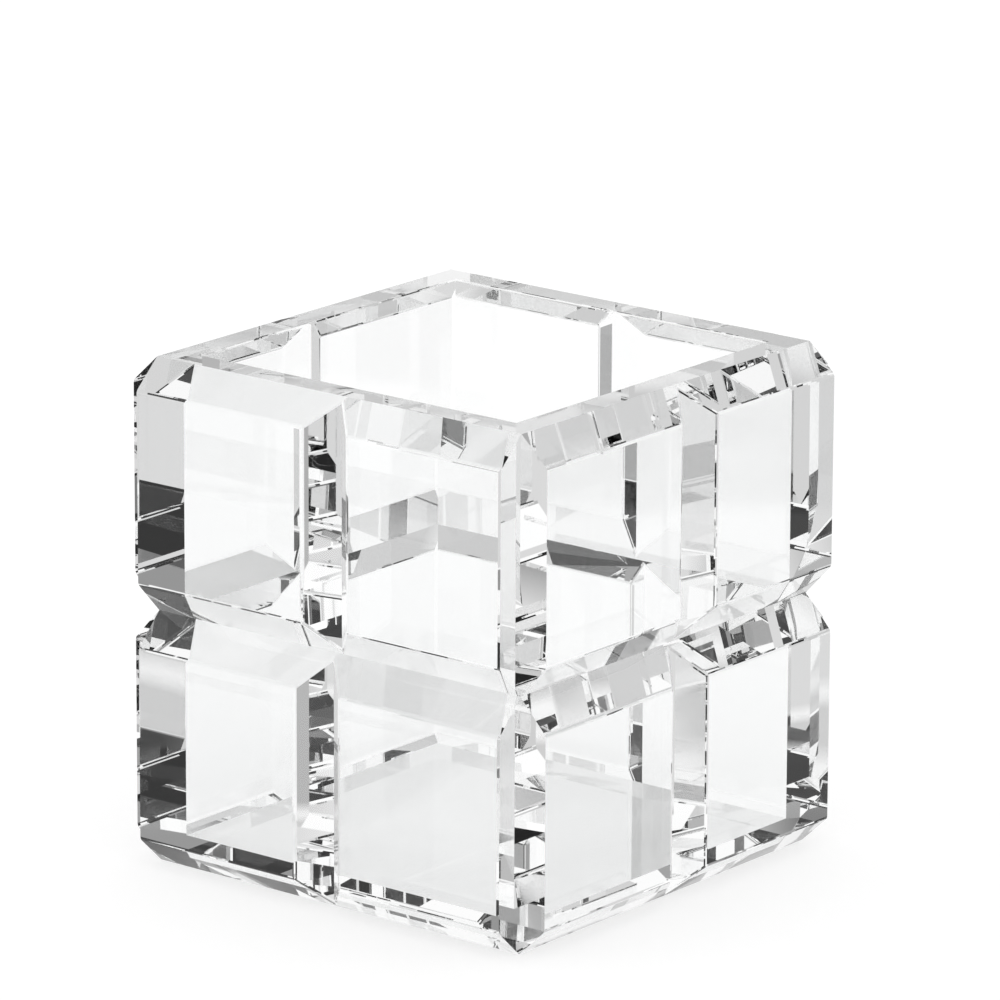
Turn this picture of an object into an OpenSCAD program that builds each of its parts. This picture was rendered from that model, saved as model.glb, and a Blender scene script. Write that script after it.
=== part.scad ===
// Cotton pad holder: an open cube of clear acrylic with faceted panels bonded to a plain box

/* [Pad well] */
// Clear width of the square well between the walls
well_w = 76; // [62:1:110]
// Thickness of the base plate, which is the floor of the well
base_t = 6; // [4:0.5:10]
// Thickness of the four mitred wall sheets
wall_t = 6; // [4:0.5:10]

/* [Tiers] */
// Height of the lower tier, from the table to the middle of the groove between the tiers
lower_tier_h = 50; // [36:1:70]
// Height of the upper tier, from the middle of that groove to the rim
upper_tier_h = 50; // [36:1:90]

/* [Faceted panels] */
// Thickness of the panels bonded outside the walls
panel_t = 6; // [4:0.5:9]
// Height of the slope below the rim
rim_slope_h = 5.6; // [3:0.2:9]
// Height of the slope above the table
foot_slope_h = 5.6; // [3:0.2:9]
// Height of the slope on each side of the groove between the tiers
tier_slope_h = 6.4; // [3:0.2:9]
// Width of the upright groove that splits each panel, at its outer face
split_w = 10.8; // [6:0.2:16]
// How far the groove of the upper tier stands to the right of the middle, seen from outside
upper_split_shift = 2; // [-6:0.5:6]
// Thickness that the upright groove leaves at its bottom
split_skin = 0.8; // [0.4:0.1:2]

/* [Hidden] */
overall_h = lower_tier_h + upper_tier_h;
wall_half = well_w / 2 + wall_t;
well_half = well_w / 2;
cut_over = 1;

// Turn about the vertical that brings the front face to each of the four sides
front_turn = 0;
right_turn = 90;
back_turn = 180;
left_turn = 270;

// The groove of the lower tier stands in the middle
lower_split_shift = 0;

// Plan of the front wall: a sheet whose two ends are mitred to meet the side walls
module wall_plan() {
    polygon([[-wall_half, -wall_half], [wall_half, -wall_half],
             [well_half, -well_half], [-well_half, -well_half]]);
}

// A mitred wall that stands on the base plate, turned to its side
module wall(turn) {
    rotate([0, 0, turn])
        translate([0, 0, base_t])
            linear_extrude(height = overall_h - base_t)
                wall_plan();
}

// Plan of a front panel: as wide as the plain box, with the upright groove in its outer face
module panel_plan(split_shift) {
    outer = wall_half + panel_t;
    groove_end = wall_half + split_skin;
    groove_left = split_shift - split_w / 2;
    groove_right = split_shift + split_w / 2;
    polygon([[-wall_half, -wall_half], [-wall_half, -outer],
             [groove_left, -outer], [split_shift, -groove_end], [groove_right, -outer],
             [wall_half, -outer], [wall_half, -wall_half]]);
}

// Side profile of a front panel: level at the wall, sloped at the top and at the bottom.
// The first coordinate is the distance out from the wall, the second the height.
module panel_profile(height, foot_slope, head_slope) {
    polygon([[0, 0], [panel_t, foot_slope],
             [panel_t, height - head_slope], [0, height]]);
}

// A panel of one tier: its plan and its side profile cross, so that the upright groove
// runs out through both slopes with true mitres
module panel(turn, bottom, height, foot_slope, head_slope, split_shift) {
    rotate([0, 0, turn])
        translate([0, 0, bottom])
            intersection() {
                linear_extrude(height = height)
                    panel_plan(split_shift);
                translate([-wall_half - cut_over, -wall_half, 0])
                    rotate([90, 0, 90])
                        mirror([1, 0, 0])
                            linear_extrude(height = 2 * (wall_half + cut_over))
                                panel_profile(height, foot_slope, head_slope);
            }
}

module upper_panel(turn) {
    color([0.90, 0.94, 0.96, 0.45])
        panel(turn, lower_tier_h, upper_tier_h, tier_slope_h, rim_slope_h, upper_split_shift);
}

module lower_panel(turn) {
    color([0.84, 0.89, 0.92, 0.45])
        panel(turn, 0, lower_tier_h, foot_slope_h, tier_slope_h, lower_split_shift);
}

module base_plate() {
    color([0.80, 0.84, 0.87, 0.6])
        linear_extrude(height = base_t)
            square(2 * wall_half, center = true);
}

module wall_front() { color([0.93, 0.95, 0.96, 0.4]) wall(front_turn); }
module wall_right() { color([0.93, 0.95, 0.96, 0.4]) wall(right_turn); }
module wall_back() { color([0.93, 0.95, 0.96, 0.4]) wall(back_turn); }
module wall_left() { color([0.93, 0.95, 0.96, 0.4]) wall(left_turn); }

module panel_front_upper() { upper_panel(front_turn); }
module panel_right_upper() { upper_panel(right_turn); }
module panel_back_upper() { upper_panel(back_turn); }
module panel_left_upper() { upper_panel(left_turn); }

module panel_front_lower() { lower_panel(front_turn); }
module panel_right_lower() { lower_panel(right_turn); }
module panel_back_lower() { lower_panel(back_turn); }
module panel_left_lower() { lower_panel(left_turn); }

base_plate();
wall_front();
wall_right();
wall_back();
wall_left();
panel_front_upper();
panel_right_upper();
panel_back_upper();
panel_left_upper();
panel_front_lower();
panel_right_lower();
panel_back_lower();
panel_left_lower();
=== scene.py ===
# Cotton pad holder in clear acrylic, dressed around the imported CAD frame
import math

import bmesh
import bpy
from mathutils import Matrix, Vector


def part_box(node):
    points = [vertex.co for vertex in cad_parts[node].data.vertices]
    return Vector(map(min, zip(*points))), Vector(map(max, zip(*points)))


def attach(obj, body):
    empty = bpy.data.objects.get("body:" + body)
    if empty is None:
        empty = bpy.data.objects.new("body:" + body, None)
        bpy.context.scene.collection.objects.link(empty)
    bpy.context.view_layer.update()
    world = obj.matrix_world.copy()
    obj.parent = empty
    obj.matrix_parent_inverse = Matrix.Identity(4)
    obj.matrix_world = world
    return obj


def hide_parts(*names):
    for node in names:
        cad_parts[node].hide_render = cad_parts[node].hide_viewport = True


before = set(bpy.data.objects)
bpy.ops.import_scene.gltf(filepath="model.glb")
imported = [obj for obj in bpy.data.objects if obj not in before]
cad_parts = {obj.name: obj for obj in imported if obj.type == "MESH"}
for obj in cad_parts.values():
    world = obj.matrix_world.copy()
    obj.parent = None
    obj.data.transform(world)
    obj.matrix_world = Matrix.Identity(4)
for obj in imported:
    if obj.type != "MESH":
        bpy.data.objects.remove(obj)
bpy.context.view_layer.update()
scene = bpy.context.scene
millimetre = 0.001
print("frame loaded:", len(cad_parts), "solids")

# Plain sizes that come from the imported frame
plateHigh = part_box("base_plate")[1]
wallLow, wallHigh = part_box("wall_front")
plainHalf = plateHigh.x                        # half the plain box, where walls and panels are bonded
wallThick = wallHigh.y - wallLow.y
wellHalf = plainHalf - wallThick
floorLevel = plateHigh.z                       # the floor of the pad well
closeEnough = 0.01 * millimetre


# Shader maths: a socket with the usual operators, so that a formula reads as one
class Wire:
    def __init__(self, tree, socket):
        self.tree = tree
        self.socket = socket

    def maths(self, operation, other=None, swap=False):
        node = self.tree.nodes.new("ShaderNodeMath")
        node.operation = operation
        first, second = (1, 0) if swap else (0, 1)
        self.tree.links.new(self.socket, node.inputs[first])
        if isinstance(other, Wire):
            self.tree.links.new(other.socket, node.inputs[second])
        elif other is not None:
            node.inputs[second].default_value = other
        return Wire(self.tree, node.outputs[0])

    def __add__(self, other):
        return self.maths("ADD", other)

    def __sub__(self, other):
        return self.maths("SUBTRACT", other)

    def __rsub__(self, other):
        return self.maths("SUBTRACT", other, swap=True)

    def __mul__(self, other):
        return self.maths("MULTIPLY", other)

    def __gt__(self, other):
        return self.maths("GREATER_THAN", other)

    def __lt__(self, other):
        return self.maths("LESS_THAN", other)

    def __abs__(self):
        return self.maths("ABSOLUTE")

    def higher(self, other):
        return self.maths("MAXIMUM", other)

    __radd__ = __add__
    __rmul__ = __mul__


# A node tree being filled: settings go in first, then the values or wires of the sockets
class Recipe:
    def __init__(self, owner):
        owner.use_nodes = True
        self.tree = owner.node_tree
        self.tree.nodes.clear()

    def add(self, kind, settings=None, sockets=None, out=0):
        node = self.tree.nodes.new("ShaderNode" + kind)
        for name, value in (settings or {}).items():
            setattr(node, name, value)
        for name, value in (sockets or {}).items():
            if isinstance(value, Wire):
                self.tree.links.new(value.socket, node.inputs[name])
            else:
                node.inputs[name].default_value = value
        return Wire(self.tree, node.outputs[out]) if len(node.outputs) else node


def newFinish(name):
    material = bpy.data.materials.new(name)
    return material, Recipe(material)


# Cast acrylic as light meets it: clear, hard, polished, with the odd hairline scratch
acrylicLook = {
    "tint": (0.996, 0.999, 0.999, 1.0),
    "tintDeep": (0.991, 0.996, 0.996, 1.0),
    "tintScale": 22.0,
    "tintDetail": 3.0,
    "refraction": 1.491,
    "roughness": 0.0,
    "scratchRoughness": 0.05,                  # what a hairline adds
    "scratchTurn": (0.35, 0.6, 0.2),
    "scratchStretch": (1.0, 14.0, 2.0),
    "scratchScale": 60.0,
    "scratchDetail": 1.0,
    "scratchMiddle": 0.5,                      # a hairline runs where the noise crosses this
    "scratchWidth": 0.0012,                    # and is this far from it at most
}


def makeAcrylic(name, look):
    material, recipe = newFinish(name)
    place = recipe.add("TexCoord", out="Object")
    cloud = recipe.add("TexNoise", {}, {
        "Vector": place,
        "Scale": look["tintScale"],
        "Detail": look["tintDetail"],
    })
    colour = recipe.add("Mix", {"data_type": "RGBA"}, {0: cloud, 6: look["tint"], 7: look["tintDeep"]}, out=2)
    stretched = recipe.add("Mapping", {}, {
        "Vector": place,
        "Rotation": look["scratchTurn"],
        "Scale": look["scratchStretch"],
    })
    scratch = recipe.add("TexNoise", {}, {
        "Vector": stretched,
        "Scale": look["scratchScale"],
        "Detail": look["scratchDetail"],
    })
    mark = abs(scratch - look["scratchMiddle"]) < look["scratchWidth"]
    roughness = look["roughness"] + mark * look["scratchRoughness"]
    shader = recipe.add("BsdfPrincipled", {}, {
        "Base Color": colour,
        "Roughness": roughness,
        "IOR": look["refraction"],
        "Transmission Weight": 1.0,
    })
    recipe.add("OutputMaterial", {}, {"Surface": shader})
    return material


# Solvent cement between two sheets: it closes the joint, so light goes straight through
bondLook = {
    "tint": (1.0, 1.0, 1.0, 1.0),              # the cement takes nothing from the light
}


def makeBond(name, look):
    material, recipe = newFinish(name)
    clear = recipe.add("BsdfTransparent", {}, {"Color": look["tint"]})
    recipe.add("OutputMaterial", {}, {"Surface": clear})
    return material


acrylic = makeAcrylic("clear_acrylic", acrylicLook)
bond = makeBond("solvent_bond", bondLook)
freeFace, bondedFace = 0, 1                    # places of the two finishes on each sheet
print("finishes made")

edgeLook = {
    "eased": 0.5 * millimetre,                 # polishing rounds each open edge this much
    "steps": 3,
    "round": 0.5,                              # the bevel's profile: a plain arc
    "flattest": 18.0,                          # degrees: an edge that turns less stays as it is
    "sameFace": 0.5,                           # degrees: faces that turn less are joined first
}
leans = 0.01                                   # a face whose normal rises less than this is upright
level = 0.5                                    # and one whose normal rises this much may be level


# A bonded face lies in a plane where sheets meet: the outside of the plain box, a mitre, or the
# joint between walls and plate. The free ends of the panels lie in the first of these planes too
# and are counted with it, so they show neither gloss nor bending
def isBonded(face):
    middle = face.calc_center_median()
    rise = abs(face.normal.z)
    if rise < leans:
        reach = abs(middle.dot(face.normal))
        return abs(reach - plainHalf) < closeEnough or reach < closeEnough
    if rise < level or abs(middle.z - floorLevel) > closeEnough:
        return False
    return face.normal.z < 0 or max(abs(middle.x), abs(middle.y)) > wellHalf


# The plate's top is cut along the insides of the walls, into the open floor and what they stand on
def cutPlateTop(shape):
    for axis in (Vector((1, 0, 0)), Vector((0, 1, 0))):
        for side in (-1, 1):
            top = [f for f in shape.faces if f.normal.z > level]
            edges = list(dict.fromkeys(e for f in top for e in f.edges))
            corners = list(dict.fromkeys(v for f in top for v in f.verts))
            bmesh.ops.bisect_plane(shape, geom=corners + edges + top, dist=closeEnough,
                                   plane_co=axis * side * wellHalf, plane_no=axis)


# Open outer edges between free faces. The angle of a re-entrant edge is negative, so it stays sharp
def openEdges(shape):
    found = []
    for e in shape.edges:
        if len(e.link_faces) != 2 or any(f.material_index == bondedFace for f in e.link_faces):
            continue
        if e.calc_face_angle_signed() > math.radians(edgeLook["flattest"]):
            found.append(e)
    return found


def makeSheet(name):
    shape = bmesh.new()
    shape.from_mesh(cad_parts[name].data)
    bmesh.ops.remove_doubles(shape, verts=shape.verts, dist=closeEnough)
    bmesh.ops.dissolve_limit(shape, angle_limit=math.radians(edgeLook["sameFace"]),
                             verts=shape.verts, edges=shape.edges)
    if name == "base_plate":
        cutPlateTop(shape)
    shape.normal_update()
    for face in shape.faces:
        face.material_index = bondedFace if isBonded(face) else freeFace
    eased = openEdges(shape)
    if eased:
        bmesh.ops.bevel(shape, geom=eased, offset=edgeLook["eased"], segments=edgeLook["steps"],
                        profile=edgeLook["round"], affect="EDGES", clamp_overlap=True, material=freeFace)
    mesh = bpy.data.meshes.new(name)
    shape.to_mesh(mesh)
    shape.free()
    mesh.materials.append(acrylic)
    mesh.materials.append(bond)
    piece = bpy.data.objects.new(name + "_sheet", mesh)
    scene.collection.objects.link(piece)
    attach(piece, "root")
    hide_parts(name)
    return piece


sheets = [makeSheet("base_plate")]
for side in ("front", "right", "back", "left"):
    sheets.append(makeSheet("wall_" + side))
    sheets.append(makeSheet("panel_" + side + "_lower"))
    sheets.append(makeSheet("panel_" + side + "_upper"))
print("sheets made:", len(sheets))

# Floor, light and boards. Clear acrylic shows what stands round it, so grey boards out of the
# picture give it its dark lines. Only light that it reflects or bends sees them, which holds for
# no real board: the camera, the floor's light and the shadows don't
studio = {
    "floorHalf": 6.0,
    "floorGap": 0.2 * millimetre,              # under the polished underside there is a film of air
    "floorPaint": 0.34,
    "floorGlow": 0.73,                         # lifts the open floor to white
    "skyLight": 1.0,
}
# Each flag hides those before it: degrees round from the front, degrees up, and a grey. One that
# is seenBy "mirrored" shows only as a mirror image in the outer faces.
# Most of these rows and of the shade cards were found by a fitting program, then merged and
# rounded; pane, strip, back and the close shadow card were given one by one
flags = {
    "room": {"from": 277, "to": 547, "low": 5, "high": 60, "grey": 0.02, "away": 3.3},
    "fill": {"from": 248, "to": 487, "low": 20, "high": 30, "grey": 0.35, "away": 3.2},
    "side": {"from": 188, "to": 203, "low": 5, "high": 30, "grey": 0.30, "away": 3.1},
    "high": {"from": 98, "to": 202, "low": 40, "high": 60, "grey": 0.65, "away": 3.1},
    "leftBar": {"from": 202, "to": 218, "low": 30, "high": 40, "grey": 0.20, "away": 3.0},
    "rightBar": {"from": 248, "to": 262, "low": 30, "high": 40, "grey": 0.20, "away": 3.0},
    "right": {"from": 68, "to": 172, "low": 30, "high": 50, "grey": 0.10, "away": 2.9},
    "pane": {"from": 136, "to": 158, "low": 27, "high": 40, "grey": 0.75, "away": 2.8},
    "strip": {"from": 156, "to": 172, "low": 33, "high": 41, "grey": 0.02, "away": 2.7},
    "back": {"from": 190, "to": 262, "low": 5, "high": 30, "grey": 0.50, "away": 2.6, "seenBy": "mirrored"},
}
# Cards just above the floor, for the light that has been turned inside the acrylic: straight
# through it, the open floor is seen. The cards are painted shade on the floor: greys darker than
# the lifted floor, seen only in that turned light. Near and far are in metres, up is in millimetres
shadeCards = {
    "wide": {"from": 45, "to": 255, "near": 0.09, "far": 5.8, "grey": 0.70, "up": 0.05},
    "right": {"from": 15, "to": 165, "near": 0.30, "far": 5.8, "grey": 0.02, "up": 0.08},
    "left": {"from": 285, "to": 345, "near": 0.09, "far": 5.8, "grey": 0.45, "up": 0.11},
    # painted shadow: a darker ring on the floor round the foot of the holder
    "close": {"from": 0, "to": 360, "near": 0.055, "far": 0.095, "grey": 0.62, "up": 0.14},
}
boardLook = {
    "soft": 1.2,                               # degrees over which a board's edge fades
    "step": 6.0,                               # degrees from row to row
    "middle": 0.05,                            # height of the point that the flags stand round
    "cardSoft": 0.015,                         # metres over which a card fades, near and far
    "cardStep": 0.30,                          # metres from row to row
    "glow": 1.0,
}
onceOrMore = 0.5                               # a light path counts whole steps


def makeFloor(settings):
    half = settings["floorHalf"]
    mesh = bpy.data.meshes.new("floor")
    corners = [(-half, -half, 0), (half, -half, 0), (half, half, 0), (-half, half, 0)]
    mesh.from_pydata(corners, [], [(0, 1, 2, 3)])
    material, recipe = newFinish("pale_floor")
    seen = recipe.add("LightPath", out="Is Camera Ray")
    for kind in ("Is Glossy Ray", "Is Transmission Ray"):
        seen = seen.higher(recipe.add("LightPath", out=kind))
    paint = recipe.add("BsdfDiffuse", {}, {"Color": (settings["floorPaint"],) * 3 + (1.0,)})
    glow = recipe.add("Emission", {}, {"Strength": seen * settings["floorGlow"]})
    both = recipe.add("AddShader", {}, {0: paint, 1: glow})
    recipe.add("OutputMaterial", {}, {"Surface": both})
    mesh.materials.append(material)
    floor = bpy.data.objects.new("floor", mesh)
    floor.location.z = -settings["floorGap"]
    scene.collection.objects.link(floor)


# Where the rows of a board stand, with a narrow first and last one in which it fades. A fade
# takes a quarter of the board at most
def boardRows(first, last, soft, step):
    soft = min(soft, (last - first) / 4)
    inner = max(1, round((last - first - 2 * soft) / step))
    middle = [first + soft + (last - first - 2 * soft) * i / inner for i in range(inner + 1)]
    return [first] + middle + [last]


# A board made of places in rows, with a grey that fades to nothing along its edges
def makeBoard(name, places, rows, columns, grey, seenBy):
    faces, cover = [], []
    for i in range(rows):
        for j in range(columns):
            cover.append(0.0 if i in (0, rows - 1) or j in (0, columns - 1) else 1.0)
            if i and j:
                a = i * columns + j
                faces.append((a - columns - 1, a - 1, a, a - columns))
    mesh = bpy.data.meshes.new(name)
    mesh.from_pydata(places, [], faces)
    mesh.attributes.new("cover", "FLOAT", "POINT").data.foreach_set("value", cover)
    material, recipe = newFinish(name)
    board = recipe.add("Emission", {}, {"Color": (grey, grey, grey, 1.0), "Strength": boardLook["glow"]})
    gap = recipe.add("BsdfTransparent")
    share = recipe.add("Attribute", {"attribute_name": "cover"}, out="Fac")
    if seenBy == "turned":
        share = share * (recipe.add("LightPath", out="Glossy Depth") > onceOrMore)
    if seenBy == "mirrored":
        share = share * (recipe.add("LightPath", out="Transmission Depth") < onceOrMore)
    recipe.add("OutputMaterial", {}, {"Surface": recipe.add("MixShader", {}, {0: share, 1: gap, 2: board})})
    mesh.materials.append(material)
    piece = bpy.data.objects.new(name, mesh)
    piece.visible_camera = False
    piece.visible_diffuse = False
    piece.visible_shadow = False
    scene.collection.objects.link(piece)


def onRing(turn, out, up):
    return (out * math.sin(math.radians(turn)), -out * math.cos(math.radians(turn)), up)


def makeFlag(name, settings, look):
    turns = boardRows(settings["from"], settings["to"], look["soft"], look["step"])
    rises = boardRows(settings["low"], settings["high"], look["soft"], look["step"])
    places = []
    for turn in turns:
        for rise in rises:
            out = settings["away"] * math.cos(math.radians(rise))
            up = settings["away"] * math.sin(math.radians(rise)) + look["middle"]
            places.append(onRing(turn, out, up))
    makeBoard("flag_" + name, places, len(turns), len(rises), settings["grey"], settings.get("seenBy"))


# A card of painted shade lying on the floor, seen only in light turned inside the acrylic
def makeShadeCard(name, settings, look):
    turns = boardRows(settings["from"], settings["to"], look["soft"], look["step"])
    outs = boardRows(settings["near"], settings["far"], look["cardSoft"], look["cardStep"])
    up = settings["up"] * millimetre - studio["floorGap"]
    places = [onRing(turn, out, up) for turn in turns for out in outs]
    makeBoard("painted_shade_card_" + name, places, len(turns), len(outs), settings["grey"], "turned")


makeFloor(studio)
for name, settings in flags.items():
    makeFlag(name, settings, boardLook)
for name, settings in shadeCards.items():
    makeShadeCard(name, settings, boardLook)
print("floor, flags and cards:", 1 + len(flags) + len(shadeCards))

world = bpy.data.worlds.new("studio")
scene.world = world
sky = Recipe(world)
background = sky.add("Background", {}, {"Color": (1.0, 1.0, 1.0, 1.0), "Strength": studio["skyLight"]})
sky.add("OutputWorld", {}, {"Surface": background})

# Camera: angles in degrees, places in metres, lens and sensor in millimetres
view = {
    "turn": 38.78,                             # round from the front towards the right
    "away": 1.429,
    "height": 0.472,
    "down": 15.707,
    "roll": 0.25,
    "aside": 0.12,                             # how far it looks past the middle
    "lens": 280.2,
    "sensor": 36.0,
    "nearest": 0.05,
    "farthest": 20.0,
}


def makeCamera(settings):
    data = bpy.data.cameras.new("camera")
    data.lens = settings["lens"]
    data.sensor_width = settings["sensor"]
    data.clip_start = settings["nearest"]
    data.clip_end = settings["farthest"]
    camera = bpy.data.objects.new("camera", data)
    camera.location = onRing(settings["turn"], settings["away"], settings["height"])
    heading = Matrix.Rotation(math.radians(settings["turn"] - settings["aside"]), 4, "Z")
    tilt = Matrix.Rotation(math.radians(90 - settings["down"]), 4, "X")
    roll = Matrix.Rotation(math.radians(settings["roll"]), 4, "Z")
    camera.rotation_euler = (heading @ tilt @ roll).to_euler()
    scene.collection.objects.link(camera)
    scene.camera = camera


makeCamera(view)

# Clear sheets behind clear sheets take many bounces
scene.cycles.max_bounces = 32
scene.cycles.transmission_bounces = 32
scene.cycles.glossy_bounces = 24
scene.cycles.transparent_max_bounces = 64
scene.view_settings.view_transform = "Standard"
print("light and camera set")
